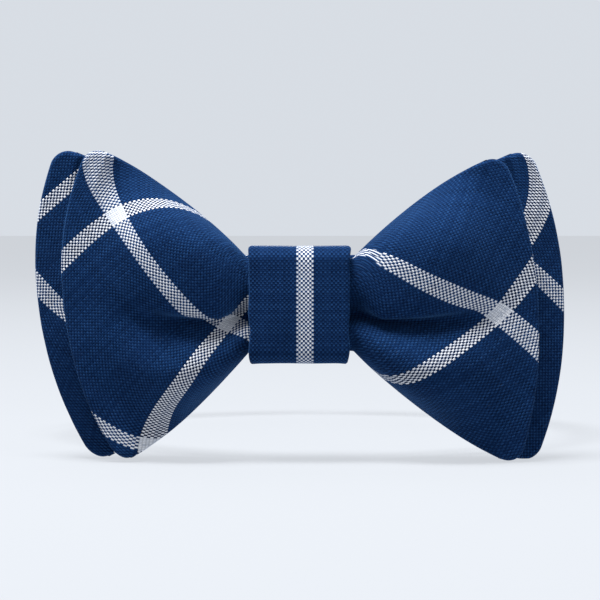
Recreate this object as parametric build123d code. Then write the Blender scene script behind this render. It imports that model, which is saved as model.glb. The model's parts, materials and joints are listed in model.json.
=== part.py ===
from build123d import *
import os
from math import cos, pi, radians, sin

# A pre-tied butterfly bow tie: two stacked bows, a knot wrap, and an adjustable neckband
# that closes behind the neck with a hook and an eye.
# Drawn with y = 0 at the centre of the knot, and moved at the end so that the origin is the
# centre of the neck ring, at the knot's mid-height.  +Z is up, the bow's front looks along -Y
# and +X is the viewer's right.  Millimetres throughout.

# --- fabric and thread ---
CLOTH = 0.8             # one shell-fabric panel of a bow
INTERLINING = 0.2       # stiffening layer between two panels
FACE_GAP = 0.3          # air between a bow's face and its interlining
BACK_GAP = 0.5          # air between the interlining and the bow's back
SEAM_THREAD_R = 0.13
LONG_SIDE_STITCHES = 15
WING_END_STITCHES = 6
STITCH_COVER = (0.15, 0.85)  # where in its own pitch a seam stitch begins and ends
STITCH_R = 0.25
PANEL_COLUMNS, PANEL_ROWS = 29, 17  # guide points of a panel, along and up
SURFACE_TOLERANCE = 0.03  # how closely a panel's surface follows its guide points

# --- outlines of the bows: wing corners (x, z) and how far each end swells past them ---
FRONT_OUTLINE = {
    "left_top": (45.4, 34.6), "left_bottom": (38.9, 34.2), "left_belly": 11.1,
    "right_top": (43.4, 32.3), "right_bottom": (47.4, 34.4), "right_belly": 8.3,
}
BACK_OUTLINE = {
    "left_top": (52.4, 34.4), "left_bottom": (45.2, 34.3), "left_belly": 11.0,
    "right_top": (49.7, 33.9), "right_bottom": (51.4, 34.9), "right_belly": 9.75,
}
WAIST_HALF_HEIGHT = 10.6   # gathered cloth inside the knot
WAIST_SHARE = 0.25         # share of a wing's length that stays gathered at the knot
WAIST_SOFTNESS = 0.05      # how gradually the cloth opens beside the knot
OPENING_POWER = 1.6        # how early a wing reaches its full height
END_ROUNDNESS = 2.2        # how full the swell of a wing's end is
SWELL_SHARE = 0.7          # the end's swell fades out towards the knot over this share
VALLEY_Y = -3.6            # front panel at the bottom of its centre pleat
PLEAT_DEPTH = 5.0          # how far the pleat's two lobes stand in front of the valley
PLEAT_FADE = 1.5           # how quickly the pleat flattens towards the wing's end
VALLEY_DROP = 0.08         # the pleat's valley sits this share of the height below centre
FRONT_END_Y = -5.5         # front panel at the wing ends
WING_CROWN = 2.2           # forward bulge of a wing's middle
WING_PUFF = 1.2            # air between a bow's two panels at a wing's middle
BACK_SETBACK = 3.4         # back bow behind the front bow at the waist
BACK_SPLAY = 6.0           # extra distance between the two bows at the wing ends
INTERLINING_SHARE = 0.955  # the interlining stops short of the seam
SEAM_SHARE = 0.985         # the seam runs just inside the edge

# --- knot ---
KNOT_WIDTH = 22.8
KNOT_FRONT_Y = -10.8
KNOT_HALF_HEIGHT = 13.2
WRAP_THICKNESS = 1.0
KNOT_BACK_Y = 7.4
KNOT_CORNER = 3.0
LAP_END_Z = 9.0            # how far each end of the wrap overlaps behind the knot
KNOT_GAP = 0.1             # between the wrap's two laps, and between wrap and interlining
KNOT_LINING_BACK_Y = 5.2
KNOT_LINING_CORNER = 2.4
KNOT_LINING_MARGIN = 1.0   # the interlining stops short of each edge of the wrap
KNOT_STITCH_X = (-8, -4, 0, 4, 8)
KNOT_STITCH_START = (7.45, -8.0)  # y, z of a stitch on the outer lap
KNOT_STITCH_END = (6.35, -10.3)   # y, z where it goes into the inner lap
KNOT_STITCH_SLANT = 0.8
PINCH_THREAD_R = 0.25
PINCH_TURNS = 3
PINCH_PITCH = 0.8
PINCH_BACK_Y = 3.15        # passes between the back bow and the strap roots
PINCH_CORNER = 1.65

# --- neckband ---
LEFT, RIGHT = -1, 1
STRAP_THICKNESS = 1.0
STRAP_HEIGHT = 17.0
STRAP_ROOT_Y = 4.0
STRAP_ROOT_X = 1.5         # the two strap roots stop just short of the middle of the knot
TACK_X = (-8, -4, 4, 8)
TACK_Y = (1.95, 4.65)      # from inside the back bow to just behind the strap roots
TACK_Z = -0.85
STRAP_HINGE_X = 12.9       # where each strap starts to flex beside the knot
HINGE_GAP = 0.3
NECK_Y = 70.0              # centre of the neck ring, behind the centre of the knot
NECK_R = 62.0              # the closed band's inner radius at its longest setting
RUN_R = NECK_R + STRAP_THICKNESS / 2
UPPER_RUN_R = 63.6         # the band's middle line where it rides over the slider bars
OUTER_RUN_R = 66.9         # the band's middle line after it has turned back at the hook
STRAP_LEAVES_DEG = 32.7    # ring angle where the straight part beside the knot meets the ring
LEFT_RISE_DEG = (69.3, 80.0)
RIGHT_RISE_DEG = (141.3, 152.0)
LEFT_RUN_END_DEG = 134.6
TAKE_UP_DEG = (135.9, 166.4)
LEG_START_DEG = 167.6
RETURN_DEG = (154.6, 166.4)
RIGHT_LAP_DEG = (160.5, 153.5)  # the right strap's folded end, sewn down on the strap
RIGHT_LAP_R = 64.7
BARTACK_Z = (-6, -3, 0, 3, 6)
SLIDER_BARTACK_DEG = 151.4
SLIDER_BARTACK_R = (64.35, 67.6)
EYE_BARTACK_DEG = 157.0
EYE_BARTACK_R = (62.9, 65.45)

# --- hook, eye and slider ---
BAR_X = 11.0               # the bars that the band turns round, left and right of centre
BAR_Y = 134.3
BAR_RING_DEG = 170.3
HOOK_BAR_R = 1.0
EYE_BAR_R = 0.9
TURN_R = (OUTER_RUN_R - UPPER_RUN_R) / 2
PLATE = 1.2                # stamped plate of hook and eye
RAIL_INNER_Z = 8.8
RAIL_OUTER_Z = 10.6
RAIL = RAIL_OUTER_Z - RAIL_INNER_Z
HOOK_CROSS_X = (-5.2, -3.4)
EYE_CROSS_X = (-1.6, 0.2)
TONGUE_HALF_WIDTH = 4.0
TONGUE_RISE = (0.9, 1.9)
TONGUE_JOIN = 0.5          # the flat tongue runs this far into its bent tip
TONGUE_R = (12.2, 13.2)    # the bent tip is concentric with the hook's bar
TONGUE_ARC_DEG = (-12.0, 8.6)
HOOK_REST_DEG = 20.0       # at rest the hook is lifted clear of the eye
SLIDER_DEG = 148.0
SLIDER_HALF_DEG = 5.5
SLIDER_END_BAR_DEG = 1.5
SLIDER_R = (62.2, 66.3)
SLIDER_END_BAR_OUTER_R = 62.9
SLIDER_CENTRE_BAR_R = 65.8
SLIDER_CENTRE_BAR_DEG = 1.4
END_LOOP_INNER_R = 64.7
END_LOOP_DEG = (147.3, 153.4)


# ---------------------------------------------------------------- bows

def ease(t):
    """Smooth step from 0 to 1."""
    t = min(max(t, 0.0), 1.0)
    return t * t * (3 - 2 * t)


def mix(a, b, t):
    return a + (b - a) * t


def wing_share(a):
    """0 at the knot's side, 1 at the wing's end, with a soft start; a is the share of
    the whole half bow."""
    t = max(0.0, (a - WAIST_SHARE) / (1 - WAIST_SHARE))
    return t * t * (1 + WAIST_SOFTNESS) / (t + WAIST_SOFTNESS)


def bow_point(outline, back_bow, u, v, depth):
    """A point of a bow: u runs from the left end to the right end, v from bottom to top,
    and depth is the distance behind the bow's front surface."""
    side = "left" if u < 0 else "right"
    a = abs(u)
    t = wing_share(a)
    top_x, top_z = outline[side + "_top"]
    bottom_x, bottom_z = outline[side + "_bottom"]
    up = (v + 1) / 2
    end_x = mix(bottom_x, top_x, up) + outline[side + "_belly"] * (1 - abs(v) ** END_ROUNDNESS)
    mean_x = (top_x + bottom_x) / 2
    x = u * mix(mean_x, end_x, ease(a / SWELL_SHARE))
    corner_z = mix(bottom_z, top_z, ease(up))
    z = v * mix(WAIST_HALF_HEIGHT, corner_z, 1 - (1 - t) ** OPENING_POWER)
    lobes = sin(pi * (v + VALLEY_DROP * (1 - v * v))) ** 2
    y = mix(VALLEY_Y, FRONT_END_Y, ease(t)) - PLEAT_DEPTH * (1 - t) ** PLEAT_FADE * lobes
    y -= WING_CROWN * sin(pi * t) * (1 - v * v)
    if back_bow:
        y += BACK_SETBACK + BACK_SPLAY * ease(t)
    return Vector(x, y + depth, z)


def wing_puff(u, v):
    """Extra air between a bow's two panels."""
    return WING_PUFF * (1 - v * v) * sin(pi * wing_share(abs(u))) ** 2


def bow_layer(outline, back_bow, depth_at, thickness, share=1.0):
    """One layer of cloth of a bow, from the left wing's end to the right wing's end."""
    grid = []
    for i in range(PANEL_COLUMNS):
        u = share * (2 * i / (PANEL_COLUMNS - 1) - 1)
        row = []
        for j in range(PANEL_ROWS):
            v = share * (2 * j / (PANEL_ROWS - 1) - 1)
            row.append(bow_point(outline, back_bow, u, v, depth_at(u, v)))
        grid.append(row)
    face = Face.make_surface_from_array_of_points(grid, tol=SURFACE_TOLERANCE)
    return extrude(face, amount=thickness, dir=(0, 1, 0))


def bow_face(outline, back_bow):
    return bow_layer(outline, back_bow, lambda u, v: 0.0, CLOTH)


def bow_interlining(outline, back_bow):
    depth = CLOTH + FACE_GAP
    return bow_layer(outline, back_bow, lambda u, v: depth + wing_puff(u, v) / 2,
                     INTERLINING, INTERLINING_SHARE)


def bow_back(outline, back_bow):
    depth = CLOTH + FACE_GAP + INTERLINING + BACK_GAP
    return bow_layer(outline, back_bow, lambda u, v: depth + wing_puff(u, v), CLOTH)


def rod(start, end, radius):
    """Round bar between two points."""
    start, end = Vector(*start), Vector(*end)
    return extrude(Plane(origin=start, z_dir=end - start) * Circle(radius),
                   amount=(end - start).length)


def seam_stitches(outline, back_bow):
    """The seam that joins a bow's two panels: a row of stitches along each of its sides."""
    depth = CLOTH + (FACE_GAP + INTERLINING + BACK_GAP) / 2
    stitches = []
    for edge in (-SEAM_SHARE, SEAM_SHARE):
        for along_end, count in ((False, LONG_SIDE_STITCHES), (True, WING_END_STITCHES)):
            for i in range(count):
                span = [INTERLINING_SHARE * (2 * (i + part) / count - 1) for part in STITCH_COVER]
                spots = [(edge, s) if along_end else (s, edge) for s in span]
                ends = [bow_point(outline, back_bow, u, v, depth) for u, v in spots]
                stitches.append(rod(*ends, SEAM_THREAD_R).solid())
    return Compound(children=stitches)


# ---------------------------------------------------------------- knot

def across_x(face, width):
    """Extrude a face drawn in the Y-Z plane to both sides of x = 0."""
    return extrude(face, amount=width / 2, dir=(1, 0, 0), both=True)


def rounded_loop(front_y, back_y, half_height, corner):
    """Closed loop of thread or band round the waist, in the Y-Z plane."""
    centre = Vector(0, (front_y + back_y) / 2, 0)
    plane = Plane(origin=centre, x_dir=(0, 1, 0), z_dir=(1, 0, 0))
    return (plane * RectangleRounded(back_y - front_y, 2 * half_height, corner)).wire()


def pinch_thread():
    """Turns of thread that gather both bows at the waist."""
    inset = WRAP_THICKNESS + INTERLINING + 2 * KNOT_GAP + PINCH_THREAD_R
    loop = rounded_loop(KNOT_FRONT_Y + inset, PINCH_BACK_Y, KNOT_HALF_HEIGHT - inset,
                        PINCH_CORNER)
    start = Plane(origin=loop @ 0, z_dir=loop % 0)
    turn = sweep(start * Circle(PINCH_THREAD_R), path=loop)
    offsets = [(i - (PINCH_TURNS - 1) / 2) * PINCH_PITCH for i in range(PINCH_TURNS)]
    return Compound(children=[Pos(x, 0, 0) * turn.solid() for x in offsets])


def knot_interlining():
    """Stiffening band inside the knot wrap."""
    inset = WRAP_THICKNESS + KNOT_GAP
    outer = rounded_loop(KNOT_FRONT_Y + inset, KNOT_LINING_BACK_Y, KNOT_HALF_HEIGHT - inset,
                         KNOT_LINING_CORNER)
    inner = rounded_loop(KNOT_FRONT_Y + inset + INTERLINING, KNOT_LINING_BACK_Y - INTERLINING,
                         KNOT_HALF_HEIGHT - inset - INTERLINING,
                         KNOT_LINING_CORNER - INTERLINING)
    return across_x(Face(outer, [inner]), KNOT_WIDTH - 2 * KNOT_LINING_MARGIN)


def knot_wrap():
    """The knot: a band wound once round the waist, its ends lapped behind."""
    half = WRAP_THICKNESS / 2
    front = KNOT_FRONT_Y + half
    edge_z = KNOT_HALF_HEIGHT - half
    outer_lap = KNOT_BACK_Y - half
    inner_lap = outer_lap - WRAP_THICKNESS - KNOT_GAP
    corners = [(inner_lap, LAP_END_Z), (inner_lap, -edge_z), (front, -edge_z),
               (front, edge_z), (outer_lap, edge_z), (outer_lap, -LAP_END_Z)]
    line = FilletPolyline(*[(0, y, z) for y, z in corners], radius=KNOT_CORNER)
    outline = line.wire().offset_2d(half, kind=Kind.INTERSECTION, side=Side.BOTH)
    return across_x(Face(outline), KNOT_WIDTH)


def knot_back_stitches():
    """Hand stitches that close the lap of the knot wrap."""
    stitches = [rod((x, *KNOT_STITCH_START), (x + KNOT_STITCH_SLANT, *KNOT_STITCH_END), STITCH_R)
                for x in KNOT_STITCH_X]
    return Compound(children=[s.solid() for s in stitches])


# ---------------------------------------------------------------- neckband

def ring_point(side, r, degrees):
    """A point of the neck ring; the angle starts at the front and grows to the back."""
    return (side * r * sin(radians(degrees)), NECK_Y - r * cos(radians(degrees)))


def ring_arc(side, r, start, end):
    return ThreePointArc(ring_point(side, r, start), ring_point(side, r, (start + end) / 2),
                         ring_point(side, r, end))


def between(a, b):
    """Straight stretch from the end of one curve to the start of another, or to a point."""
    start = a @ 1 if isinstance(a, (Edge, Wire)) else a
    end = b @ 0 if isinstance(b, (Edge, Wire)) else b
    return Line(start, end)


def ribbon(edges, height=STRAP_HEIGHT, thickness=STRAP_THICKNESS):
    """A flat band that stands on edge, with rounded ends, along a line seen from above."""
    line = Wire([edge.edge() for edge in edges])
    outline = line.offset_2d(thickness / 2, kind=Kind.INTERSECTION, side=Side.BOTH)
    return Pos(0, 0, -height / 2) * extrude(Face(outline), amount=height, dir=(0, 0, 1))


def turn_round_bar(side):
    """Half turn of the band round the hook's or the eye's bar."""
    start = ring_point(side, UPPER_RUN_R, BAR_RING_DEG)
    end = ring_point(side, OUTER_RUN_R, BAR_RING_DEG)
    middle_r = (UPPER_RUN_R + OUTER_RUN_R) / 2
    centre = ring_point(side, middle_r, BAR_RING_DEG)
    along = radians(BAR_RING_DEG)
    middle = (centre[0] + side * TURN_R * cos(along), centre[1] + TURN_R * sin(along))
    return ThreePointArc(start, middle, end)


def strap_root(side):
    """End of the neckband, held flat inside the knot."""
    flex_end = STRAP_HINGE_X - STRAP_THICKNESS - HINGE_GAP
    root = Line((side * STRAP_ROOT_X, STRAP_ROOT_Y), (side * flex_end, STRAP_ROOT_Y))
    return ribbon([root])


def strap_tack_stitches():
    """Stitches that tack both strap roots to the back of the gathered bows."""
    stitches = [rod((x, TACK_Y[0], TACK_Z), (x, TACK_Y[1], TACK_Z), STITCH_R) for x in TACK_X]
    return Compound(children=[s.solid() for s in stitches])


def left_strap_run():
    hinge = (-STRAP_HINGE_X, STRAP_ROOT_Y)
    low = ring_arc(LEFT, RUN_R, STRAP_LEAVES_DEG, LEFT_RISE_DEG[0])
    high = ring_arc(LEFT, UPPER_RUN_R, LEFT_RISE_DEG[1], LEFT_RUN_END_DEG)
    return ribbon([between(hinge, low), low, between(low, high), high])


def left_strap_take_up():
    """The stretch of the left strap that the adjuster pays out or takes up."""
    return ribbon([ring_arc(LEFT, UPPER_RUN_R, *TAKE_UP_DEG)])


def left_strap_bight():
    """The left strap's turn round the hook's bar."""
    inner = ring_arc(LEFT, UPPER_RUN_R, LEG_START_DEG, BAR_RING_DEG)
    outer = ring_arc(LEFT, OUTER_RUN_R, BAR_RING_DEG, LEG_START_DEG)
    return ribbon([inner, turn_round_bar(LEFT), outer])


def left_strap_return():
    """The left strap's way back from the hook to the slider."""
    return ribbon([ring_arc(LEFT, OUTER_RUN_R, *RETURN_DEG)])


def left_strap_end_loop():
    """The left strap's end, turned round the slider's centre bar and sewn."""
    start, end = END_LOOP_DEG
    outer = ring_arc(LEFT, OUTER_RUN_R, end, start)
    inner = ring_arc(LEFT, END_LOOP_INNER_R, start, end)
    middle_r = (OUTER_RUN_R + END_LOOP_INNER_R) / 2
    half = (OUTER_RUN_R - END_LOOP_INNER_R) / 2
    centre = ring_point(LEFT, middle_r, start)
    along = radians(start)
    middle = (centre[0] + half * cos(along), centre[1] - half * sin(along))
    turn = ThreePointArc(outer @ 1, middle, inner @ 0)
    return ribbon([outer, turn, inner])


def right_strap_run():
    """The right strap, with its end folded round the eye's bar and back onto itself."""
    hinge = (STRAP_HINGE_X, STRAP_ROOT_Y)
    low = ring_arc(RIGHT, RUN_R, STRAP_LEAVES_DEG, RIGHT_RISE_DEG[0])
    high = ring_arc(RIGHT, UPPER_RUN_R, RIGHT_RISE_DEG[1], BAR_RING_DEG)
    outer = ring_arc(RIGHT, OUTER_RUN_R, BAR_RING_DEG, LEG_START_DEG)
    lapped = ring_arc(RIGHT, RIGHT_LAP_R, *RIGHT_LAP_DEG)
    return ribbon([between(hinge, low), low, between(low, high), high,
                   turn_round_bar(RIGHT), outer, between(outer, lapped), lapped])


def bartack(side, degrees, radii):
    """A row of stitches straight through two layers of the band."""
    stitches = []
    for z in BARTACK_Z:
        start, end = (ring_point(side, r, degrees) + (z,) for r in radii)
        stitches.append(rod(start, end, STITCH_R).solid())
    return Compound(children=stitches)


# ---------------------------------------------------------------- hook, eye and slider

def sector(side, radii, degrees, z_range):
    """Part of the neck ring between two radii, two angles and two heights."""
    inner = ring_arc(side, radii[0], degrees[0], degrees[1])
    outer = ring_arc(side, radii[1], degrees[1], degrees[0])
    outline = Wire([e.edge() for e in (inner, between(inner, outer), outer,
                                       between(outer, inner))])
    lifted = Pos(0, 0, z_range[0]) * Face(outline)
    return extrude(lifted, amount=z_range[1] - z_range[0], dir=(0, 0, 1))


def block(x_range, y_range, z_range):
    size = [high - low for low, high in (x_range, y_range, z_range)]
    return Pos(x_range[0], y_range[0], z_range[0]) * Box(*size, align=(Align.MIN,) * 3)


def plate_frame(bar_x, bar_r, cross_x):
    """Bar, two rails and a cross bar: the frame that hook and eye have in common."""
    plate_y = (BAR_Y - PLATE / 2, BAR_Y + PLATE / 2)
    ends = (-RAIL_OUTER_Z, RAIL_OUTER_Z)
    rail_x = (min(bar_x, cross_x[0]), max(bar_x, cross_x[1]))
    frame = rod((bar_x, BAR_Y, ends[0]), (bar_x, BAR_Y, ends[1]), bar_r)
    frame += block(cross_x, plate_y, ends)
    for low in (-RAIL_OUTER_Z, RAIL_INNER_Z):
        frame += block(rail_x, plate_y, (low, low + RAIL))
    return frame


def neck_hook():
    """Flat hook; its bent tip drops through the eye."""
    tongue_z = (-TONGUE_HALF_WIDTH, TONGUE_HALF_WIDTH)
    plate_y = (BAR_Y + TONGUE_RISE[0], BAR_Y + TONGUE_RISE[1])
    hook = plate_frame(-BAR_X, HOOK_BAR_R, HOOK_CROSS_X)
    hook += block(HOOK_CROSS_X, (BAR_Y, plate_y[1]), tongue_z)
    hook += block((HOOK_CROSS_X[0], TONGUE_R[0] - BAR_X + TONGUE_JOIN), plate_y, tongue_z)
    low, high = TONGUE_ARC_DEG
    centre = Vector(-BAR_X, BAR_Y)
    inner = CenterArc(centre, TONGUE_R[0], low, high - low)
    outer = CenterArc(centre, TONGUE_R[1], low, high - low)
    outline = Wire([inner.edge(), Line(inner @ 1, outer @ 1).edge(), outer.edge(),
                    Line(outer @ 0, inner @ 0).edge()])
    tip = extrude(Pos(0, 0, tongue_z[0]) * Face(outline), amount=2 * TONGUE_HALF_WIDTH,
                  dir=(0, 0, 1))
    hook += tip
    return hook.rotate(Axis((-BAR_X, BAR_Y, 0), (0, 0, 1)), HOOK_REST_DEG)


def neck_eye():
    return plate_frame(BAR_X, EYE_BAR_R, EYE_CROSS_X)


def strap_slider():
    """Three-bar slider: the band runs between its end bars and its centre bar."""
    low, high = SLIDER_DEG - SLIDER_HALF_DEG, SLIDER_DEG + SLIDER_HALF_DEG
    bar_r = (SLIDER_R[0], SLIDER_END_BAR_OUTER_R)
    ends = (-RAIL_OUTER_Z, RAIL_OUTER_Z)
    slider = sector(LEFT, SLIDER_R, (low, high), (RAIL_INNER_Z, RAIL_OUTER_Z))
    slider += sector(LEFT, SLIDER_R, (low, high), (-RAIL_OUTER_Z, -RAIL_INNER_Z))
    slider += sector(LEFT, bar_r, (low, low + SLIDER_END_BAR_DEG), ends)
    slider += sector(LEFT, bar_r, (high - SLIDER_END_BAR_DEG, high), ends)
    centre = ring_arc(LEFT, SLIDER_CENTRE_BAR_R, END_LOOP_DEG[0],
                      END_LOOP_DEG[0] + SLIDER_CENTRE_BAR_DEG)
    slider += ribbon([centre], 2 * RAIL_OUTER_Z)
    return slider


def build_parts():
    parts = {
        "front_bow_face": bow_face(FRONT_OUTLINE, False),
        "front_bow_interlining": bow_interlining(FRONT_OUTLINE, False),
        "front_bow_back": bow_back(FRONT_OUTLINE, False),
        "front_bow_seam_stitches": seam_stitches(FRONT_OUTLINE, False),
        "back_bow_face": bow_face(BACK_OUTLINE, True),
        "back_bow_interlining": bow_interlining(BACK_OUTLINE, True),
        "back_bow_back": bow_back(BACK_OUTLINE, True),
        "back_bow_seam_stitches": seam_stitches(BACK_OUTLINE, True),
        "pinch_thread": pinch_thread(),
        "knot_interlining": knot_interlining(),
        "knot_wrap": knot_wrap(),
        "knot_back_stitches": knot_back_stitches(),
        "left_strap_root": strap_root(LEFT),
        "right_strap_root": strap_root(RIGHT),
        "strap_tack_stitches": strap_tack_stitches(),
        "left_strap_run": left_strap_run(),
        "left_strap_take_up": left_strap_take_up(),
        "left_strap_bight": left_strap_bight(),
        "left_strap_return": left_strap_return(),
        "left_strap_end_loop": left_strap_end_loop(),
        "slider_bartack": bartack(LEFT, SLIDER_BARTACK_DEG, SLIDER_BARTACK_R),
        "strap_slider": strap_slider(),
        "neck_hook": neck_hook(),
        "right_strap_run": right_strap_run(),
        "eye_bartack": bartack(RIGHT, EYE_BARTACK_DEG, EYE_BARTACK_R),
        "neck_eye": neck_eye(),
    }
    return parts


os.makedirs("parts", exist_ok=True)
for name, shape in build_parts().items():
    export_step(Pos(0, -NECK_Y, 0) * shape, "parts/" + name + ".step")
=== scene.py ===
import json
import math

import bpy
import numpy as np
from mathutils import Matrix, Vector


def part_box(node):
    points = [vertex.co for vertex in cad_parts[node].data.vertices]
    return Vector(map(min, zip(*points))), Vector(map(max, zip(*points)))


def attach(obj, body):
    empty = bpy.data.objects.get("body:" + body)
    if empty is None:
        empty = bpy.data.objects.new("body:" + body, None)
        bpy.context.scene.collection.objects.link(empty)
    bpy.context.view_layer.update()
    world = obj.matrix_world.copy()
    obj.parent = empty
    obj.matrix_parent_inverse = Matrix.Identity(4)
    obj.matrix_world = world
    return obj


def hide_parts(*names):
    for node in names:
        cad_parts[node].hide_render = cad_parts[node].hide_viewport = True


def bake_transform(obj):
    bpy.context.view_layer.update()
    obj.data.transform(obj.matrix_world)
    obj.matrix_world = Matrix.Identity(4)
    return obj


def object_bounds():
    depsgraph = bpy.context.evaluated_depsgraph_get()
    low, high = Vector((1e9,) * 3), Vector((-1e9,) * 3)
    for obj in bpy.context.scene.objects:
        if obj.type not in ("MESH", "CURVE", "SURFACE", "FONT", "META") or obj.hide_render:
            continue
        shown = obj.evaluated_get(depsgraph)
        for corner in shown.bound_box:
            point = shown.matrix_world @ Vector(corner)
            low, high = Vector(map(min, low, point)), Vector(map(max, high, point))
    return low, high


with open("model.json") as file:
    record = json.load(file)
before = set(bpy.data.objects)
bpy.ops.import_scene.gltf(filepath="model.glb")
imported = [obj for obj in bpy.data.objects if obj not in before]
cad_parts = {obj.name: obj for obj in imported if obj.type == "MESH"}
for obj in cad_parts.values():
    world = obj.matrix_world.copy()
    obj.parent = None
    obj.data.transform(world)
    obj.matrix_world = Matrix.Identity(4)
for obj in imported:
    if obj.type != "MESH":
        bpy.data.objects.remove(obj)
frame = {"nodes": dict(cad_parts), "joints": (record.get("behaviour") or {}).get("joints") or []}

# The looks of a pre-tied bow tie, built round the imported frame.
# Shapes are worked out in millimetres from the centre of the knot, and turned into the frame's
# metres when a mesh is made: +Z up, -Y out of the bow's front, the neck on the +Y side.
# A bow is a grid over u, from -1 at its left end to 1 at its right, and v, from -1 at its bottom
# edge to 1 at its top. A wing's share runs from 0 at the waist to 1 at the wing's end.

MM = 0.001
CAD_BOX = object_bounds()
NECK_Y = 70.0            # the frame's origin, the centre of the neck ring, is behind the knot
KNOT_CENTRE = np.array([0.0, -NECK_Y, 0.0])
KNOT_LOW, KNOT_HIGH = [np.array(c) / MM - KNOT_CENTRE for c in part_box("knot_wrap")]

# ------------------------------------------------------------------ sizes of the bows

# Wing corners, how far each end swells past them, the share at which the pleat has died away,
# and how wide the pleat's two walls are, as shares of the half height.
FRONT = {
    "left": dict(top_x=47.7, top_z=35.2, bottom_x=40.8, bottom_z=35.0, belly=9.0,
                 pleat_end=0.82, upper_wall=0.13, lower_wall=0.19),
    "right": dict(top_x=45.9, top_z=33.3, bottom_x=49.8, bottom_z=35.7, belly=6.2,
                  pleat_end=0.98, upper_wall=0.14, lower_wall=0.13),
}
BACK = {
    "left": dict(top_x=55.4, top_z=35.2, bottom_x=47.2, bottom_z=35.6, belly=8.5,
                 pleat_end=0.8, upper_wall=0.2, lower_wall=0.24),
    "right": dict(top_x=52.6, top_z=34.8, bottom_x=54.2, bottom_z=36.2, belly=7.3,
                  pleat_end=0.8, upper_wall=0.2, lower_wall=0.2),
}
WAIST_HALF_HEIGHT = 10.4
WAIST_SHARE = 0.25       # of a half bow's length, before its wing begins
FLARE_POWER = 1.6        # how soon a wing opens out to its full height
BELLY_POWER = 2.2
END_SHARE = 0.7          # from here out, upright lines on the cloth follow the wing's end
CORNER_R = 3.2           # rounding of the wing corners
WING_LENGTH, WING_HALF_HEIGHT = 48.0, 34.6     # a typical wing, to turn that into u and v
CORNER_U, CORNER_V = CORNER_R / WING_LENGTH, CORNER_R / WING_HALF_HEIGHT

VALLEY_Y = -3.6          # bottom of the centre pleat at the waist
WING_Y = -6.2            # and outwards
BACK_SETBACK = 3.4       # the back bow sits this far behind the front one
BACK_SPLAY = 6.0         # and its ends spread this much further back
PLEAT_SAG = 0.10         # how far the pleat runs below the middle, in half heights
PLEAT_FLARE = 0.8        # how much its walls widen towards the end
WALL_POWER = 1.5
LOBE_DEPTH = 5.0         # how far the lobes beside the pleat stand out at the waist
LOBE_GROWTH = {"front": 15.0, "back": 3.0}     # and how much more that would be at the end
LOBE_POWER = (2.2, 3.0)  # how flat the lobes are, at the waist and outwards
LOBE_LOSS = (1.0, 0.3)   # how much of their depth goes at the edges, at the waist and at the end
CROWN = 3.6              # bulge of a wing's middle
LIP_V = 0.17             # the upper lobe's lip, which hangs over the pleat: where it is,
LIP_WIDTH = 0.12         # how wide,
LIP_SHARE = 0.17         # and how far it hangs: a share of the half height,
LIP_DROP = 2.2           # and a length
EDGE_CURL = 1.18         # beside the knot the edges curl over, past a quarter turn
CURL_SHARE = 0.8         # share at which that has straightened out
ROLL_V = 0.4             # where the surface starts to roll back towards its edges
ROLL_DEPTH = 9.0
UNEVEN, UNEVEN_FINE = 0.22, 0.06               # height of the cloth's soft unevenness
FINE_SCALE = 2.1

WAIST_THICKNESS = 1.3
WING_THICKNESS = 2.6
PUFF = 1.0               # what the middle of a wing adds to that
PANEL = 0.45             # one layer of cloth
SEAM_R = 1.0             # the panels turn in to the seam over this distance
SEAM_CLOSE = 0.96        # how nearly they meet there
PANEL_GAP = 0.02         # from a panel's inside to the middle of the bow
LAYER_HALF = 0.1         # half the interlining's thickness
LAYER_SHARE = 0.955      # how far out it goes, as do the seam's stitches
PANEL_GRID, LAYER_GRID = (281, 161), (121, 71)
CROWDING_U, CROWDING_V = 1.25, 1.35            # grid lines gather towards the edges

SEAM_AT = 0.985
STITCH_R = 0.13
STITCH_FILL = (0.12, 0.88)                     # where a stitch starts and ends in its own step
STITCH_RINGS, STITCH_SIDES = 5, 6
STITCHES_LONG, STITCHES_END = 34, 18

# ------------------------------------------------------------------ sizes of the weave

THREAD_PITCH = 0.48
CHECK = 38.0             # from one stripe of the check to the next
STRIPE = 3.6
MID_CHECK = 18.5         # a place on the cloth between two stripes

# How far the gathered cloth has been drawn off its grain at the top and bottom edges, how
# quickly that grows from the middle, how much one thread direction leans on the other, and how
# far the cloth has been pulled up into the fold beside the knot.
PULL = {
    ("front", "left"): dict(top=12.0, bottom=10.0, power=4.0, lean=0.0, lift=2.2),
    ("front", "right"): dict(top=12.0, bottom=10.0, power=1.5, lean=0.178, lift=0.0),
    ("back", "left"): dict(top=4.0, bottom=23.0, power=1.5, lean=0.0, lift=0.0),
    ("back", "right"): dict(top=20.0, bottom=0.0, power=2.5, lean=0.0, lift=0.0),
}
LIFT_SHARE = 0.25        # the wing's share over which that lift dies away

# Where the check's stripes cross each wing: offsets of the two thread directions.
CHECK_PHASE = {
    ("front", "left"): (-15.6, 6.8), ("front", "right"): (-15.1, 5.2),
    ("back", "left"): (-1.3, -18.1), ("back", "right"): (5.2, 10.4),
}
BACK_PANEL_SHIFT = np.array([11.0, 17.0])      # a bow's back panel is cut from another place

# Darkest and lightest shade of the navy threads of each direction, and of the off-white ones.
NAVY_THREADS = (
    ((0.0012, 0.0075, 0.030, 1), (0.0035, 0.018, 0.068, 1)),
    ((0.0035, 0.020, 0.072, 1), (0.0120, 0.048, 0.145, 1)),
)
CREAM_THREADS = ((0.48, 0.52, 0.60, 1), (0.76, 0.78, 0.82, 1))
# Painted shade: the colour that the low places between and beside the threads darken towards.
PAINTED_SHADE_BETWEEN_THREADS = (0.002, 0.008, 0.03, 1)
LINT = (0.20, 0.30, 0.46, 1)
CLOTH_SHEEN = (0.13, 0.38, 0.9, 1)

# ------------------------------------------------------------------ sizes of knot and neckband

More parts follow.
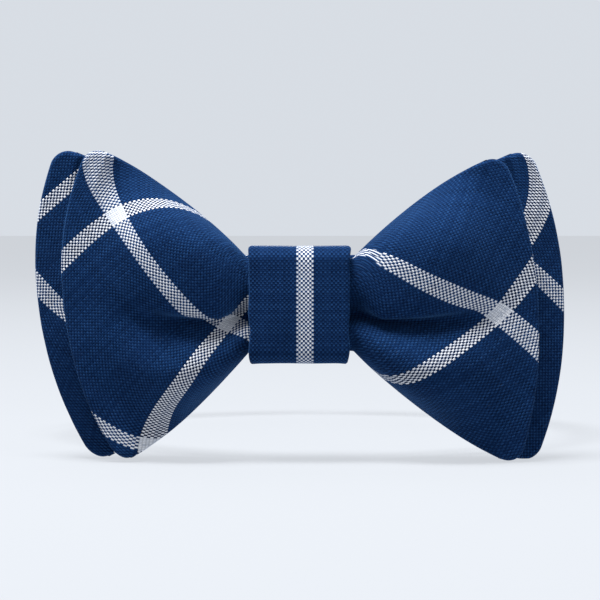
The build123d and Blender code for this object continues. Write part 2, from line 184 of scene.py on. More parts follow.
KNOT_THICKNESS = 1.1
KNOT_LAP = 9.0           # how far the ends overlap behind
KNOT_CORNER_R = 3.0
KNOT_HALF_HEIGHT = 13.2
KNOT_STRIPE_X = 1.3
KNOT_CROWN = 0.55
HEM_WIDTH = 4.0          # the hems' unevenness fades over this width
HEM_WAVES = 0.22
HEM_IN = 0.15            # how far the hems sit inside the knot's full width
HEM_LEAN = (-0.099, 0.21)                      # left and right hem, outwards at the knot's top
DENT_AT, DENT_SIZE, DENT_DEPTH = (-2.5, -9.5), (3.0, 3.5), 0.35
KNOT_FOLDS = 0.072


def joint_point(name):
    joint = next(j for j in frame["joints"] if j["name"] == name)
    return np.array(joint["pos_m"]) / MM - KNOT_CENTRE


RING = joint_point("neck_size_adjust")
HINGES = {-1: joint_point("left_strap_swing"), 1: joint_point("right_strap_swing")}
STRAP_WIDTH = (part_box("left_strap_run")[1].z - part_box("left_strap_run")[0].z) / MM
STRAP_THICKNESS = 0.95
SIDES = {"left": -1, "right": 1}

# Radii of the neck ring's layers, from the run against the collar outwards.
RUN_R = 62.5
UPPER_R = 63.6           # the run where it has risen to the slider and the bars
LAID_R = 64.65           # the right strap's end, laid on its own run
LOOP_R = 64.7            # the left strap's end, under the slider's bar
OUTER_R = 66.9           # either strap folded back round its bar

# Places round the ring, in degrees from the knot.
LEAVES_DEG = 32.7        # the strap comes from the knot and meets the ring
FRONT_END_DEG = 36       # its front piece ends
BAR_DEG = 170.3          # hook's and eye's bars
SLIDER_BAR_DEG = 147.3
RETURN_DEG = 166.6       # the left strap's second layer is cut in two here
SEAM_LAP_DEG = 0.1       # pieces of one strap run into each other by this much

# ------------------------------------------------------------------ sizes of the stage, in metres

FLOOR_REACH = 4.0
FLOOR_GAP = 0.0006
FLOOR_SHADES = ((0.08, 0.084, 0.09, 1), (0.09, 0.094, 0.10, 1))
FLOOR_GLOW, FLOOR_GLOW_STRENGTH = (0.90, 0.94, 1.0, 1), 0.66
LAMPS = {                # place from the knot, side and watts
    "key": ((-0.2, -0.18, 1.1), 0.5, 36.0),
    "fill": ((0.9, -0.9, 0.5), 0.9, 3.0),
    "rim": ((-0.2, 0.85, 0.9), 0.8, 4.0),
}
ROOM_COLOUR = (0.88, 0.93, 1.0, 1)
ROOM_LIGHT, ROOM_SEEN = 0.32, 0.78             # strength as a light, and as a backdrop
LOOK_AT = (0.0002, -0.006, 0.0011)             # from the knot's centre
CAMERA_DISTANCE = 0.65
CAMERA_ELEVATION = math.radians(2.0)
VIEW_WIDTH = 0.1348
SENSOR_MM = 36.0


# ------------------------------------------------------------------ small helpers

def ease(t):
    t = np.clip(t, 0.0, 1.0)
    return t * t * (3 - 2 * t)


def mix(a, b, t):
    return a + (b - a) * t


def ripple(x, z, seed):
    """Soft unevenness of cloth, about -1 to 1, from a few seeded waves."""
    rng = np.random.default_rng(seed)
    total = np.zeros_like(x)
    for _ in range(7):
        angle = rng.uniform(0, math.tau)
        length = rng.uniform(9, 26)
        phase = rng.uniform(0, math.tau)
        total += np.sin((x * math.cos(angle) + z * math.sin(angle)) * math.tau / length + phase)
    return total / 4.0


def unit(vectors):
    """The same vectors, one per row, one long."""
    return vectors / np.linalg.norm(vectors, axis=1, keepdims=True)


def distances(path):
    """How far along a path each of its points lies."""
    return np.concatenate([[0], np.cumsum(np.linalg.norm(np.diff(path, axis=0), axis=1))])


def new_mesh(name, points, faces, uvs, material):
    """A mesh object from points in millimetres; uvs holds one pair per point."""
    mesh = bpy.data.meshes.new(name)
    points = (np.asarray(points) + KNOT_CENTRE) * MM
    mesh.from_pydata([tuple(p) for p in points], [], faces)
    layer = mesh.uv_layers.new(name="cloth")
    loops = np.zeros(len(mesh.loops), np.int32)
    mesh.loops.foreach_get("vertex_index", loops)
    layer.data.foreach_set("uv", np.asarray(uvs, np.float32)[loops].ravel())
    mesh.polygons.foreach_set("use_smooth", [True] * len(mesh.polygons))
    mesh.materials.append(material)
    mesh.update()
    obj = bpy.data.objects.new(name, mesh)
    bpy.context.scene.collection.objects.link(obj)
    return obj


def stands_for(obj, slot, *nodes):
    """Hide the CAD nodes that a piece replaces. The slot argument is not used."""
    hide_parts(*nodes)
    return obj


def grid_faces(columns, rows, start=0, flip=False):
    i, j = np.meshgrid(np.arange(columns - 1), np.arange(rows - 1), indexing="ij")
    a = (start + i * rows + j).ravel()
    quads = np.stack([a, a + rows, a + rows + 1, a + 1], axis=1)
    if flip:
        quads = quads[:, ::-1]
    return quads.tolist()


def closed_sheet(name, outer, inner, uv, material):
    """A thin closed solid between two grids of points that share their layout."""
    columns, rows = outer.shape[:2]
    count = columns * rows
    points = np.concatenate([outer.reshape(-1, 3), inner.reshape(-1, 3)])
    faces = grid_faces(columns, rows) + grid_faces(columns, rows, count, True)
    rim = [i * rows for i in range(columns)]
    rim += [(columns - 1) * rows + j for j in range(1, rows)]
    rim += [i * rows + rows - 1 for i in range(columns - 2, -1, -1)]
    rim += [j for j in range(rows - 2, 0, -1)]
    for a, b in zip(rim, rim[1:] + rim[:1]):
        faces.append((b, a, a + count, b + count))
    uvs = np.concatenate([uv.reshape(-1, 2), uv.reshape(-1, 2)])
    return new_mesh(name, points, faces, uvs, material)


def tube_faces(rings, sides, start=0):
    """Faces round a row of rings of points, without its ends."""
    faces = []
    for a in range(start, start + (rings - 1) * sides, sides):
        for b in range(sides):
            c = (b + 1) % sides
            faces.append((a + b, a + c, a + sides + c, a + sides + b))
    return faces


def end_faces(rings, sides, start=0):
    """The two flat ends of such a row."""
    last = start + (rings - 1) * sides
    return [tuple(start + b for b in range(sides - 1, -1, -1)),
            tuple(last + b for b in range(sides))]


# ------------------------------------------------------------------ materials

class Nodes:
    """Short forms for building a material's node tree."""

    def __init__(self, name):
        self.material = bpy.data.materials.new(name)
        self.material.use_nodes = True
        self.tree = self.material.node_tree
        self.shader = self.tree.nodes["Principled BSDF"]

    def link(self, source, target):
        if hasattr(source, "is_output"):
            self.tree.links.new(source, target)
        else:
            target.default_value = source

    def math(self, operation, *values):
        node = self.tree.nodes.new("ShaderNodeMath")
        node.operation = operation
        for value, socket in zip(values, node.inputs):
            self.link(value, socket)
        return node.outputs[0]

    def vector(self, x, y, z=0.0):
        node = self.tree.nodes.new("ShaderNodeCombineXYZ")
        for value, socket in zip((x, y, z), node.inputs):
            self.link(value, socket)
        return node.outputs[0]

    def blend(self, share, a, b):
        node = self.tree.nodes.new("ShaderNodeMix")
        node.data_type = "RGBA"
        self.link(share, node.inputs["Factor"])
        self.link(a, node.inputs["A"])
        self.link(b, node.inputs["B"])
        return node.outputs["Result"]

    def place(self):
        """Where a point of the object is, in metres."""
        return self.tree.nodes.new("ShaderNodeTexCoord").outputs["Object"]

    def noise(self, vector, scale, detail=2.0):
        node = self.tree.nodes.new("ShaderNodeTexNoise")
        self.link(vector, node.inputs["Vector"])
        node.inputs["Scale"].default_value = scale
        node.inputs["Detail"].default_value = detail
        return node.outputs[0]

    def random(self, vector):
        node = self.tree.nodes.new("ShaderNodeTexWhiteNoise")
        node.noise_dimensions = "3D"
        self.link(vector, node.inputs["Vector"])
        return node.outputs["Value"]

    def bump(self, height, distance, strength):
        node = self.tree.nodes.new("ShaderNodeBump")
        node.inputs["Distance"].default_value = distance
        node.inputs["Strength"].default_value = strength
        self.link(height, node.inputs["Height"])
        self.link(node.outputs[0], self.shader.inputs["Normal"])

    def set(self, **values):
        for name, value in values.items():
            self.link(value, self.shader.inputs[name.replace("_", " ")])


def thread_colour(n, axis, cell, along):
    """Colour of one direction's threads, each with its own shade and with slubs along it."""
    middle = n.math("MULTIPLY", n.math("ADD", cell, 0.5), THREAD_PITCH)
    wrapped = n.math("FLOORED_MODULO", n.math("ADD", middle, CHECK / 2), CHECK)
    off = n.math("ABSOLUTE", n.math("SUBTRACT", wrapped, CHECK / 2))
    in_stripe = n.math("LESS_THAN", off, STRIPE / 2)
    own = n.random(n.vector(cell, 3.7 + 11.0 * axis))
    slub = n.noise(n.vector(n.math("MULTIPLY", cell, 5.3), along, 9.0 * axis), 0.55)
    shade = n.math("ADD", n.math("MULTIPLY", own, 0.7), n.math("MULTIPLY", slub, 1.1))
    shade = n.math("SUBTRACT", shade, 0.4)
    navy = n.blend(shade, *NAVY_THREADS[axis])
    cream = n.blend(shade, *CREAM_THREADS)
    return n.blend(in_stripe, navy, cream)


def thread_relief(n, across, along):
    """Height of a thread's visible bit, from where a point is across and along it, 0 to 1."""
    across = n.math("SUBTRACT", n.math("MULTIPLY", across, 2.0), 1.0)
    along = n.math("SUBTRACT", n.math("MULTIPLY", along, 2.0), 1.0)
    round_side = n.math("SUBTRACT", 1.0, n.math("MULTIPLY", across, across))
    round_end = n.math("SUBTRACT", 1.0, n.math("POWER", n.math("ABSOLUTE", along), 4.0))
    return n.math("MULTIPLY", round_side, round_end)


def check_cloth(name):
    """Plain weave in two directions with a wide off-white windowpane check."""
    n = Nodes(name)
    uv = n.tree.nodes.new("ShaderNodeUVMap")
    uv.uv_map = "cloth"
    split = n.tree.nodes.new("ShaderNodeSeparateXYZ")
    n.link(uv.outputs[0], split.inputs[0])
    x, y = split.outputs[0], split.outputs[1]

    threads = [n.math("DIVIDE", place, THREAD_PITCH) for place in (x, y)]
    cells = [n.math("FLOOR", thread) for thread in threads]
    parts = [n.math("SUBTRACT", thread, cell) for thread, cell in zip(threads, cells)]
    first_colour = thread_colour(n, 0, cells[0], y)
    second_colour = thread_colour(n, 1, cells[1], x)
    second_on_top = n.math("FLOORED_MODULO", n.math("ADD", cells[0], cells[1]), 2.0)
    colour = n.blend(second_on_top, first_colour, second_colour)

    first_on_top = n.math("SUBTRACT", 1.0, second_on_top)
    first_height = n.math("MULTIPLY", thread_relief(n, parts[0], parts[1]), first_on_top)
    second_height = n.math("MULTIPLY", thread_relief(n, parts[1], parts[0]), second_on_top)
    height = n.math("ADD", first_height, second_height)

    # Painted shade: the weave's colour darkens where its relief is low, between and beside the threads.
    painted_gap_shade = n.math("MULTIPLY", n.math("SUBTRACT", 1.0, height), 0.42)
    colour = n.blend(painted_gap_shade, colour, PAINTED_SHADE_BETWEEN_THREADS)
    lint = n.noise(n.vector(n.math("MULTIPLY", x, 0.6), y), 1.9, 6.0)
    fuzz = n.math("MAXIMUM", n.math("SUBTRACT", lint, 0.66), 0.0)
    colour = n.blend(fuzz, colour, LINT)
    n.set(Base_Color=colour, Roughness=0.95, Specular_IOR_Level=0.04)
    n.set(Sheen_Weight=0.3, Sheen_Roughness=0.35, Sheen_Tint=CLOTH_SHEEN)
    n.bump(height, 0.00012, 0.55)
    return n.material


def plain_cloth(name, dark, light):
    """Woven interlining or thread: a fine two-way grain over two close shades."""
    n = Nodes(name)
    grain = n.noise(n.place(), 2600.0, 3.0)
    n.set(Base_Color=n.blend(grain, dark, light), Roughness=0.85, Specular_IOR_Level=0.2)
    n.bump(grain, 0.0001, 0.5)
    return n.material


def nickel(name):
    """Plated pressed steel: fine brushing, and cloudy wear in its colour and shine."""
    n = Nodes(name)
    where = n.place()
    stretch = n.tree.nodes.new("ShaderNodeMapping")
    stretch.inputs["Scale"].default_value = (900.0, 900.0, 60.0)
    n.link(where, stretch.inputs["Vector"])
    brushed = n.noise(stretch.outputs[0], 5.0, 4.0)
    cloud = n.noise(where, 260.0, 3.0)
    tone = n.math("ADD", n.math("MULTIPLY", brushed, 0.55), n.math("MULTIPLY", cloud, 0.45))
    n.set(Base_Color=n.blend(tone, (0.40, 0.39, 0.37, 1), (0.78, 0.77, 0.74, 1)), Metallic=1.0)
    n.set(Roughness=n.math("ADD", n.math("MULTIPLY", cloud, 0.22), 0.16))
    n.bump(brushed, 0.00004, 0.4)
    return n.material


CLOTH = check_cloth("check_cloth")
INTERLINING = plain_cloth("interlining", (0.55, 0.53, 0.47, 1), (0.80, 0.78, 0.71, 1))
THREAD = plain_cloth("sewing_thread", (0.008, 0.020, 0.055, 1), (0.03, 0.07, 0.16, 1))
NICKEL = nickel("nickel_plate")


# ------------------------------------------------------------------ bows

def into_corner(u, v):
    """How far (u, v) has gone into its wing corner, 0 to 1 each way."""
    p = np.clip((np.abs(u) - 1 + CORNER_U) / CORNER_U, 0, 1)
    q = np.clip((np.abs(v) - 1 + CORNER_V) / CORNER_V, 0, 1)
    return p, q, (p > 0) & (q > 0)


def rounded(u, v):
    """Parameters drawn in near the corners, so that the outline turns them softly."""
    p, q, inside = into_corner(u, v)
    near_u = 1 - CORNER_U + CORNER_U * p * np.sqrt(1 - q * q / 2)
    near_v = 1 - CORNER_V + CORNER_V * q * np.sqrt(1 - p * p / 2)
    return (np.where(inside, np.sign(u) * near_u, u),
            np.where(inside, np.sign(v) * near_v, v))


def wing_share(u):
    return np.clip((np.abs(u) - WAIST_SHARE) / (1 - WAIST_SHARE), 0, 1)


class Bow:
    """One bow: the outer surface of its front panel, and what lies behind it."""

    def __init__(self, name, outline, seed):
        self.name = name
        self.outline = outline
        self.seed = seed

    def size(self, u, key):
        """A driving size of the wing that u is on."""
        return np.where(u < 0, self.outline["left"][key], self.outline["right"][key])

    def section(self, u, v):
        """Half height, end distance and wing share at (u, v)."""
        up = (v + 1) / 2
        top_x, bottom_x = self.size(u, "top_x"), self.size(u, "bottom_x")
        t = wing_share(u)
        corner_z = mix(self.size(u, "bottom_z"), self.size(u, "top_z"), ease(up))
        half = mix(WAIST_HALF_HEIGHT, corner_z, 1 - (1 - t) ** FLARE_POWER)
        belly = self.size(u, "belly") * (1 - np.abs(v) ** BELLY_POWER)
        end_x = mix(bottom_x, top_x, up) + belly
        reach = mix((top_x + bottom_x) / 2, end_x, ease(np.abs(u) / END_SHARE))
        return half, reach, t

    def front(self, u, v):
        """Points of the outer surface of the bow's front panel."""
        return self.surface(*rounded(u, v))

    def surface(self, u, v):
        """The same before its corners are rounded."""
        half, reach, t = self.section(u, v)
        curled = np.sin(v * EDGE_CURL * math.pi / 2)
        z = half * mix(v, curled, 1 - ease(t / CURL_SHARE))
        x = u * reach
        y, lip = self.pleat(u, v, t)
        y += self.crown(v, t)
        z -= lip * (LIP_SHARE * half + LIP_DROP)
        y += ripple(x, z, self.seed) * UNEVEN * ease(t * 3)
        y += ripple(x * FINE_SCALE, z * FINE_SCALE, self.seed + 1) * UNEVEN_FINE * ease(t * 3)
        return np.stack([x, y, z], axis=-1)

    def pleat(self, u, v, t):
        """Depth of the centre pleat between its two lobes, and how far the upper one's lip hangs."""
        low = v + PLEAT_SAG * (1 - v * v) * (1 - 0.5 * t)
        wall = np.where(low > 0, self.size(u, "upper_wall"), self.size(u, "lower_wall"))
        groove = 1 - np.exp(-(np.abs(low) / (wall * (1 + PLEAT_FLARE * t))) ** WALL_POWER)
        loss = mix(*LOBE_LOSS, ease(t / 0.8))
        lobes = groove * (1 - loss * np.abs(v) ** mix(*LOBE_POWER, ease(t * 2)))
        fade = np.clip(1 - (t / self.size(u, "pleat_end")) ** 2, 0, 1) ** 2
        depth = (LOBE_DEPTH + LOBE_GROWTH[self.name] * t) * fade
        lip = fade * ease(t * 6) * np.exp(-((low - LIP_V) / LIP_WIDTH) ** 2)
        return mix(VALLEY_Y, WING_Y, ease(t * 1.3)) - depth * lobes, lip

    def crown(self, v, t):
        """Bulge of the wing's middle, and the roll back to its top and bottom edges."""
        roll = np.clip((np.abs(v) - ROLL_V) / (1 - ROLL_V), 0, 1) ** 2
        rolled = ROLL_DEPTH * np.sin(math.pi * np.clip(t * 1.15, 0, 1)) ** 0.8
        return roll * mix(rolled, 0, ease((t - 0.75) * 4)) - CROWN * np.sin(math.pi * t) * (1 - v * v)

    def thickness(self, u, v):
        t = wing_share(u)
        puff = PUFF * (1 - v * v) * np.sin(math.pi * t) ** 2
        return mix(WAIST_THICKNESS, WING_THICKNESS, ease(t * 2.2)) + puff

    def rim(self, u, v, radius):
        """How far a panel has turned in towards the seam close to its edge."""
        u, v = rounded(u, v)
        half, reach, _ = self.section(u, v)
        edge = np.minimum((1 - np.abs(v)) * half, (1 - np.abs(u)) * reach)
        p, q, inside = into_corner(u, v)
        turn = CORNER_R * (1 - np.sqrt(np.minimum(p * p + q * q, 1)))
        edge = np.where(inside, np.minimum(turn, edge), edge)
        inward = np.clip(radius - edge, 0, radius)
        return radius - np.sqrt(np.maximum(radius ** 2 - inward ** 2, 0))

    def normals(self, u, v):
        """Unit vectors that point from the front surface into the bow."""
        step = 2e-3
        u, v = rounded(u, v)
        du = self.surface(np.minimum(u + step, 1), v) - self.surface(np.maximum(u - step, -1), v)
        dv = self.surface(u, np.minimum(v + step, 1)) - self.surface(u, np.maximum(v - step, -1))
        n = np.cross(dv, du)
        return n / np.maximum(np.linalg.norm(n, axis=-1, keepdims=True), 1e-9)

    def flat(self, u, v):
        """Where a point lies on the cut cloth, along its two thread directions."""
        points = self.front(u, v)
        steps = np.diff(points, axis=1)
        length = np.sqrt(steps[..., 1] ** 2 + steps[..., 2] ** 2)
        along = np.concatenate([np.zeros_like(length[:, :1]), np.cumsum(length, axis=1)], axis=1)
        middle = along.shape[1] // 2
        height = along - along[:, middle:middle + 1]
        x = points[..., 0]
        flat = np.zeros(points.shape[:2] + (2,))
        for side, sign in SIDES.items():
            pull = PULL[(self.name, side)]
            raised = height - pull["lift"] * np.exp(-(wing_share(u) / LIFT_SHARE) ** 2)
            edge_pull = np.where(v > 0, pull["top"], pull["bottom"])
            drawn = x + sign * edge_pull * np.abs(v) ** pull["power"]
            threads = np.stack([drawn + raised, raised - drawn], axis=-1) / math.sqrt(2)
            threads[..., 0] -= pull["lean"] * x
            own = (np.sign(x) == sign)[..., None]
            flat = np.where(own, threads - CHECK_PHASE[(self.name, side)], flat)
        return flat


class BackBow(Bow):
    """The bow behind, set back and with its ends spread further from the front one."""

    def pleat(self, u, v, t):
        y, lip = super().pleat(u, v, t)
        return y + BACK_SETBACK + BACK_SPLAY * ease(t), lip


def bow_grid(columns, rows, share=1.0):
    """Parameters of a bow's grid, closer together towards its edges."""
    u = np.linspace(-1, 1, columns)
    v = np.linspace(-1, 1, rows)
    u = np.sign(u) * (1 - (1 - np.abs(u)) ** CROWDING_U)
    v = np.sign(v) * (1 - (1 - np.abs(v)) ** CROWDING_V)
    return np.meshgrid(u * share, v * share, indexing="ij")


def bow_panel(bow, node, back_side):
    """A face or back panel with its edges turned in to the seam."""
    u, v = bow_grid(*PANEL_GRID)
    base = bow.front(u, v)
    normal = bow.normals(u, v)
    thick = bow.thickness(u, v)
    flat = bow.flat(u, v)
    turn = bow.rim(u, v, SEAM_R) * thick / 2 * SEAM_CLOSE
    if back_side:
        outer_depth = thick - turn
        inner_depth = np.maximum(outer_depth - PANEL, thick / 2 + PANEL_GAP)
    else:
        outer_depth = turn
        inner_depth = np.minimum(outer_depth + PANEL, thick / 2 - PANEL_GAP)
    outer = base + normal * outer_depth[..., None]
    inner = base + normal * inner_depth[..., None]
    if back_side:
        flat = flat + BACK_PANEL_SHIFT
        outer, inner, flat = outer[:, ::-1], inner[:, ::-1], flat[:, ::-1]
    obj = closed_sheet(node + "_cloth", outer, inner, flat, CLOTH)
    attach(stands_for(obj, "bow_cloth", node), "bow")


def bow_interlining(bow, node):
    u, v = bow_grid(*LAYER_GRID, LAYER_SHARE)
    base = bow.front(u, v)
    normal = bow.normals(u, v)
    middle = bow.thickness(u, v)[..., None] / 2
    front = base + normal * (middle - LAYER_HALF)
    back = base + normal * (middle + LAYER_HALF)
    obj = closed_sheet(node + "_layer", front, back, bow.flat(u, v), INTERLINING)
    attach(stands_for(obj, "interlining", node), "bow")


def tube_points(path, radius, sides):
    """Rings of points round a path, smaller at its ends."""
    tangent = unit(np.gradient(path, axis=0))
    side = np.cross(tangent, np.array([0.0, 1.0, 0.0]))
    side /= np.maximum(np.linalg.norm(side, axis=1, keepdims=True), 1e-6)
    other = np.cross(tangent, side)
    angle = np.arange(sides) * math.tau / sides
    ring = side[:, None] * np.cos(angle)[None, :, None] + other[:, None] * np.sin(angle)[None, :, None]
    taper = np.full(len(path), radius)
    taper[0] = taper[-1] = radius * 0.35
    return path[:, None] + ring * taper[:, None, None]


def seam_stitches(bow, node):
    """The seam's stitches, in the fold where the two panels meet."""
    points, faces = [], []
    edges = [("v", -SEAM_AT, STITCHES_LONG), ("v", SEAM_AT, STITCHES_LONG),
             ("u", -SEAM_AT, STITCHES_END), ("u", SEAM_AT, STITCHES_END)]
    for axis, edge, count in edges:
        for i in range(count):
            step = i + np.linspace(*STITCH_FILL, STITCH_RINGS)
            span = LAYER_SHARE * (2 * step / count - 1)
            fixed = np.full(STITCH_RINGS, edge)
            u, v = (span, fixed) if axis == "v" else (fixed, span)
            path = bow.front(u, v) + bow.normals(u, v) * bow.thickness(u, v)[..., None] / 2
            start = len(points)
            points.extend(tube_points(path, STITCH_R, STITCH_SIDES).reshape(-1, 3))
            faces += tube_faces(STITCH_RINGS, STITCH_SIDES, start)
            faces += end_faces(STITCH_RINGS, STITCH_SIDES, start)
    obj = new_mesh(node + "_thread", points, faces, np.zeros((len(points), 2)), THREAD)
    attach(stands_for(obj, "thread", node), "bow")


def build_bow(bow):
    prefix = bow.name + "_bow_"
    bow_panel(bow, prefix + "face", False)
    bow_interlining(bow, prefix + "interlining")
    bow_panel(bow, prefix + "back", True)
    seam_stitches(bow, prefix + "seam_stitches")


# ------------------------------------------------------------------ bands of cloth

def rounded_path(corners, radius, step=0.5):
    """Points every step along straight stretches joined by arcs, in a plane."""
    corners = [np.array(c, float) for c in corners]
    points = [corners[0]]

    def straight_to(end):
        start = points[-1]
        count = max(1, int(np.linalg.norm(end - start) / step))
        points.extend(start + (end - start) * k / count for k in range(1, count + 1))

    for before, corner, after in zip(corners, corners[1:], corners[2:]):
        a = (before - corner) / np.linalg.norm(before - corner)
        b = (after - corner) / np.linalg.norm(after - corner)
        half = math.acos(np.clip(a @ b, -1, 1)) / 2
        cut = radius / math.tan(half)
        straight_to(corner + a * cut)
        centre = corner + (a + b) / np.linalg.norm(a + b) * radius / math.sin(half)
        start, end = corner + a * cut - centre, corner + b * cut - centre
        sweep = math.pi - 2 * half
        turn = math.copysign(1, start[0] * end[1] - start[1] * end[0])
        count = max(4, int(sweep * radius / step))
        for k in range(1, count + 1):
            angle = turn * sweep * k / count
            c, s = math.cos(angle), math.sin(angle)
            points.append(centre + np.array([c * start[0] - s * start[1], s * start[0] + c * start[1]]))
    straight_to(corners[-1])
    return np.array(points)


def band_section(width, thickness, hem=0.12, hem_width=1.6, across=28, round_edge=7):
    """Closed outline of a folded band: (place across the width, place in the thickness)."""
    half = width / 2
    edge = thickness / 2
    w = np.linspace(-half + edge, half - edge, across)
    swell = hem * np.exp(-((half - np.abs(w)) / hem_width) ** 2)
    top = np.stack([w, edge - hem / 2 + swell], axis=1)
    angle = np.linspace(math.pi / 2, -math.pi / 2, round_edge)[1:-1]
    cap = np.stack([half - edge + edge * np.cos(angle), edge * np.sin(angle)], axis=1)
    bottom = np.stack([w[::-1], -(edge - hem / 2 + swell[::-1])], axis=1)
    return np.concatenate([top, cap, bottom, cap[::-1] * np.array([-1, 1])])


def band(name, path, width_axis, width, thickness, uv_offset, shape=None):
    """A folded band of check cloth along a path in the plane across width_axis."""
    axis = np.array(width_axis, float)
    normal = np.cross(unit(np.gradient(path, axis=0)), axis)
    section = band_section(width, thickness)
    w = section[:, 0][None, :] + np.zeros((len(path), 1))
    depth = section[:, 1][None, :] + np.zeros((len(path), 1))
    uv = np.stack([w + uv_offset[0], distances(path)[:, None] + uv_offset[1] + np.zeros_like(w)],
                  axis=-1)
    if shape is not None:
        w, depth = shape(path, w, depth)
    points = path[:, None] + axis * w[..., None] + normal[:, None] * depth[..., None]
    faces = tube_faces(len(path), len(section)) + end_faces(len(path), len(section))
    return new_mesh(name, points.reshape(-1, 3), faces, uv.reshape(-1, 2), CLOTH)


# ------------------------------------------------------------------ knot

def knot_path():
    """The wrap's middle line: round the waist, the two ends lapped behind."""
    half = KNOT_THICKNESS / 2
    front, back = KNOT_LOW[1] + half, KNOT_HIGH[1] - half
    under_lap = back - KNOT_THICKNESS - 0.05
    edge = KNOT_HIGH[2] - half
    yz = rounded_path([(under_lap, KNOT_LAP), (under_lap, -edge), (front, -edge), (front, edge),
                       (back, edge), (back, -KNOT_LAP)], KNOT_CORNER_R, 0.35)
    return np.concatenate([np.zeros((len(yz), 1)), yz], axis=1)


def knot_wrap():
    """The knot: a folded band wound once round the waist and lapped behind."""
    path = knot_path()
    width = KNOT_HIGH[0] - KNOT_LOW[0]
    middle = int(np.argmin(np.abs(path[:, 2]) + (path[:, 1] > 0) * 99))     # on the front, half way up
    normal = np.cross(path[middle + 1] - path[middle], np.array([1.0, 0, 0]))
    outward = -1.0 if normal[1] > 0 else 1.0

    def soften(points, w, depth):
        """Uneven hems, a crowned front with a dent low down, and faint folds."""
        z = points[:, 2][:, None]
        y = points[:, 1][:, None]
        side = np.sign(w)
        near_edge = ease((np.abs(w) - width / 2 + HEM_WIDTH) / HEM_WIDTH)
        lean = np.where(w > 0, HEM_LEAN[1], HEM_LEAN[0]) * z / KNOT_HALF_HEIGHT
        waves = ripple(z * 1.6 + side * 7, y * 1.4 + side * 3, 21) * HEM_WAVES
        w = w + near_edge * (side * (waves - HEM_IN) + lean)
        on_front = ease((-y - 6.0) / 4.0)
        crown = KNOT_CROWN * (1 - (w / (width / 2)) ** 2) * (1 - (z / KNOT_HALF_HEIGHT) ** 2)
        dent_x, dent_z = (w - DENT_AT[0]) / DENT_SIZE[0], (z - DENT_AT[1]) / DENT_SIZE[1]
        dent = DENT_DEPTH * np.exp(-dent_x ** 2 - dent_z ** 2)
        folds = ripple(w * 1.2 + 30, z * 0.9, 22) * KNOT_FOLDS
        return w, depth + (crown - dent) * on_front * outward + folds

    offset = (-KNOT_STRIPE_X, MID_CHECK - distances(path)[middle])
    obj = band("knot_wrap_cloth", path, (1, 0, 0), width, KNOT_THICKNESS, offset, soften)
    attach(stands_for(obj, "knot_cloth", "knot_wrap"), "bow")


# ------------------------------------------------------------------ neckband

def ring(side, r, degrees):
    """A point, or a row of them, on the neck ring."""
    a = np.radians(np.asarray(degrees, float))
    return np.stack([side * r * np.sin(a), RING[1] - r * np.cos(a), np.zeros_like(a)], axis=-1)


def ring_run(side, stops, step=0.7):
    """Points along the neck ring through (degrees, radius) stops, with soft changes."""
    degrees, radii = [], []
    for (d0, r0), (d1, r1) in zip(stops, stops[1:]):
        count = max(2, int(abs(d1 - d0) / step))
        k = np.arange(count) / count
        degrees.append(mix(d0, d1, k))
        radii.append(mix(r0, r1, ease(k)))
    degrees.append([stops[-1][0]])
    radii.append([stops[-1][1]])
    return ring(side, np.concatenate(radii), np.concatenate(degrees))


def turn_back(side, start, end, degrees, radius, ahead):
    """Half circle round a bar at these degrees, from start to end, on the side that lies ahead."""
    outward = ring(side, radius, degrees + ahead) - ring(side, radius, degrees)
    outward = outward / np.linalg.norm(outward)
    centre = (start + end) / 2
    bend = np.linalg.norm(end - start) / 2
    arm = (start - centre) / bend
    a = np.linspace(0, math.pi, 13)[1:-1]
    return centre + bend * (arm * np.cos(a)[:, None] + outward * np.sin(a)[:, None])


def strap_piece(name, path, offset, *nodes):
    """One piece of strap, with no stripe along it; offset shifts the stripes across it."""
    obj = band(name, path, (0, 0, 1), STRAP_WIDTH, STRAP_THICKNESS, (MID_CHECK, offset))
    return stands_for(obj, "band_cloth", *nodes)


def strap_front(side, name, offset):
    """From inside the knot to the ring, bending beside the knot as the strap swings out."""
    hinge = HINGES[side]
    meet = ring(side, RUN_R, LEAVES_DEG)
    line = rounded_path([(side * 1.5, hinge[1]), hinge[:2], meet[:2]], 4.0, 0.6)
    line = np.concatenate([line, np.zeros((len(line), 1))], axis=1)
    on_ring = ring_run(side, [(LEAVES_DEG + 1, RUN_R), (FRONT_END_DEG, RUN_R)])
    obj = strap_piece(name + "_front_cloth", np.concatenate([line, on_ring]), offset, name + "_root")
    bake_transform(obj)


def left_strap():
    """The adjusting strap: round the ring, round the hook's bar and back to the slider."""
    side = SIDES["left"]
    strap_front(side, "left_strap", 0.0)

    inner = ring_run(side, [(FRONT_END_DEG - SEAM_LAP_DEG, RUN_R), (68, RUN_R), (81, UPPER_R),
                            (BAR_DEG, UPPER_R)])
    outer = ring_run(side, [(BAR_DEG, OUTER_R), (RETURN_DEG, OUTER_R)])
    around = turn_back(side, inner[-1], outer[0], BAR_DEG, UPPER_R, 1)
    obj = strap_piece("left_strap_long_cloth", np.concatenate([inner, around, outer]), 47.0,
                      "left_strap_run", "left_strap_take_up", "left_strap_bight")
    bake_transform(obj)

    back = ring_run(side, [(RETURN_DEG + SEAM_LAP_DEG, OUTER_R), (SLIDER_BAR_DEG, OUTER_R)])
    under = ring_run(side, [(SLIDER_BAR_DEG, LOOP_R), (153.4, LOOP_R)])
    around = turn_back(side, back[-1], under[0], SLIDER_BAR_DEG, OUTER_R, -1)
    obj = strap_piece("left_strap_return_cloth", np.concatenate([back, around, under]), 190.0,
                      "left_strap_return", "left_strap_end_loop")
    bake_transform(obj)


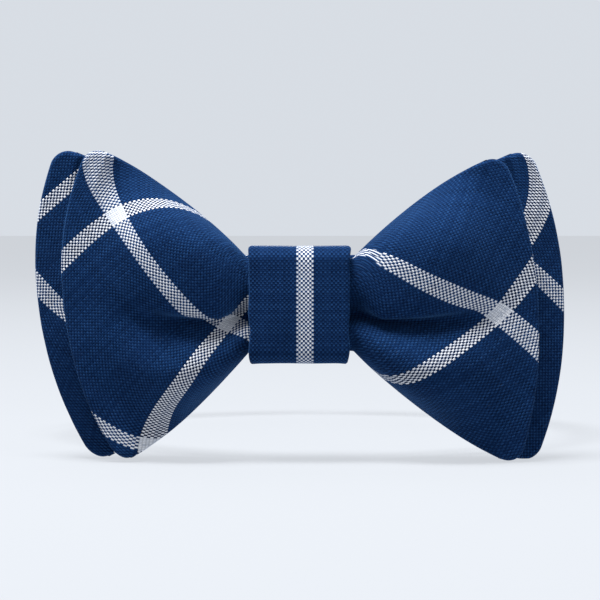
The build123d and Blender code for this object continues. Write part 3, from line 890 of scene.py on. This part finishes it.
def right_strap():
    """The plain strap: round the ring, round the eye's bar and sewn down on itself."""
    side = SIDES["right"]
    strap_front(side, "right_strap", 9.0)

    inner = ring_run(side, [(FRONT_END_DEG - SEAM_LAP_DEG, RUN_R), (141, RUN_R), (152, UPPER_R),
                            (BAR_DEG, UPPER_R)])
    outer = ring_run(side, [(BAR_DEG, OUTER_R), (167.3, OUTER_R), (160.5, LAID_R), (153.5, LAID_R)])
    around = turn_back(side, inner[-1], outer[0], BAR_DEG, UPPER_R, 1)
    obj = strap_piece("right_strap_long_cloth", np.concatenate([inner, around, outer]), 56.0,
                      "right_strap_run")
    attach(obj, "right_strap")


# ------------------------------------------------------------------ kept CAD parts

def finish_cad_parts():
    looks = {
        NICKEL: ["neck_hook", "neck_eye", "strap_slider"],
        THREAD: ["pinch_thread", "knot_back_stitches", "strap_tack_stitches", "slider_bartack",
                 "eye_bartack"],
        INTERLINING: ["knot_interlining"],
    }
    for material, nodes in looks.items():
        for node in nodes:
            mesh = frame["nodes"][node].data
            mesh.materials.clear()
            mesh.materials.append(material)


# ------------------------------------------------------------------ stage

def add_to_scene(name, data):
    obj = bpy.data.objects.new(name, data)
    bpy.context.scene.collection.objects.link(obj)
    return obj


def aim(obj, place, target):
    obj.location = place
    obj.rotation_euler = (target - place).to_track_quat("-Z", "Y").to_euler()


def floor():
    """A wide pale floor just below the bow, faintly mottled and even in light."""
    paper = Nodes("floor_paper")
    tone = paper.noise(paper.place(), 3.0, 2.0)
    paper.set(Base_Color=paper.blend(tone, *FLOOR_SHADES), Roughness=0.95, Specular_IOR_Level=0.0)
    paper.set(Emission_Color=FLOOR_GLOW, Emission_Strength=FLOOR_GLOW_STRENGTH)
    z = (CAD_BOX[0].z - FLOOR_GAP) / MM
    r = FLOOR_REACH / MM
    points = [(-r, -r, z), (r, -r, z), (r, r, z), (-r, r, z)]
    new_mesh("floor", points, [(0, 1, 2, 3)], np.zeros((4, 2)), paper.material)


def lamps(knot, target):
    for name, (place, size, watts) in LAMPS.items():
        light = bpy.data.lights.new(name, "AREA")
        light.size = size
        light.energy = watts
        aim(add_to_scene(name, light), knot + Vector(place), target)


def room():
    """Soft even light from all round, brighter as a backdrop than as a light."""
    world = bpy.data.worlds.new("soft_room")
    world.use_nodes = True
    tree = world.node_tree
    background = tree.nodes["Background"]
    background.inputs["Color"].default_value = ROOM_COLOUR
    strength = tree.nodes.new("ShaderNodeMix")
    strength.inputs["A"].default_value = ROOM_LIGHT
    strength.inputs["B"].default_value = ROOM_SEEN
    seen = tree.nodes.new("ShaderNodeLightPath").outputs["Is Camera Ray"]
    tree.links.new(seen, strength.inputs["Factor"])
    tree.links.new(strength.outputs["Result"], background.inputs["Strength"])
    bpy.context.scene.world = world
    bpy.context.scene.view_settings.view_transform = "Standard"


def camera(target):
    data = bpy.data.cameras.new("camera")
    data.sensor_width = SENSOR_MM
    data.lens = SENSOR_MM * CAMERA_DISTANCE / VIEW_WIDTH
    back = Vector((0, -math.cos(CAMERA_ELEVATION), math.sin(CAMERA_ELEVATION)))
    obj = add_to_scene("camera", data)
    aim(obj, target + CAMERA_DISTANCE * back, target)
    bpy.context.scene.camera = obj


def stage():
    """Pale floor, soft light and the camera."""
    knot = Vector(KNOT_CENTRE * MM)
    target = knot + Vector(LOOK_AT)
    floor()
    lamps(knot, target)
    room()
    camera(target)


build_bow(Bow("front", FRONT, 3))
build_bow(BackBow("back", BACK, 7))
knot_wrap()
left_strap()
right_strap()
finish_cad_parts()
stage()
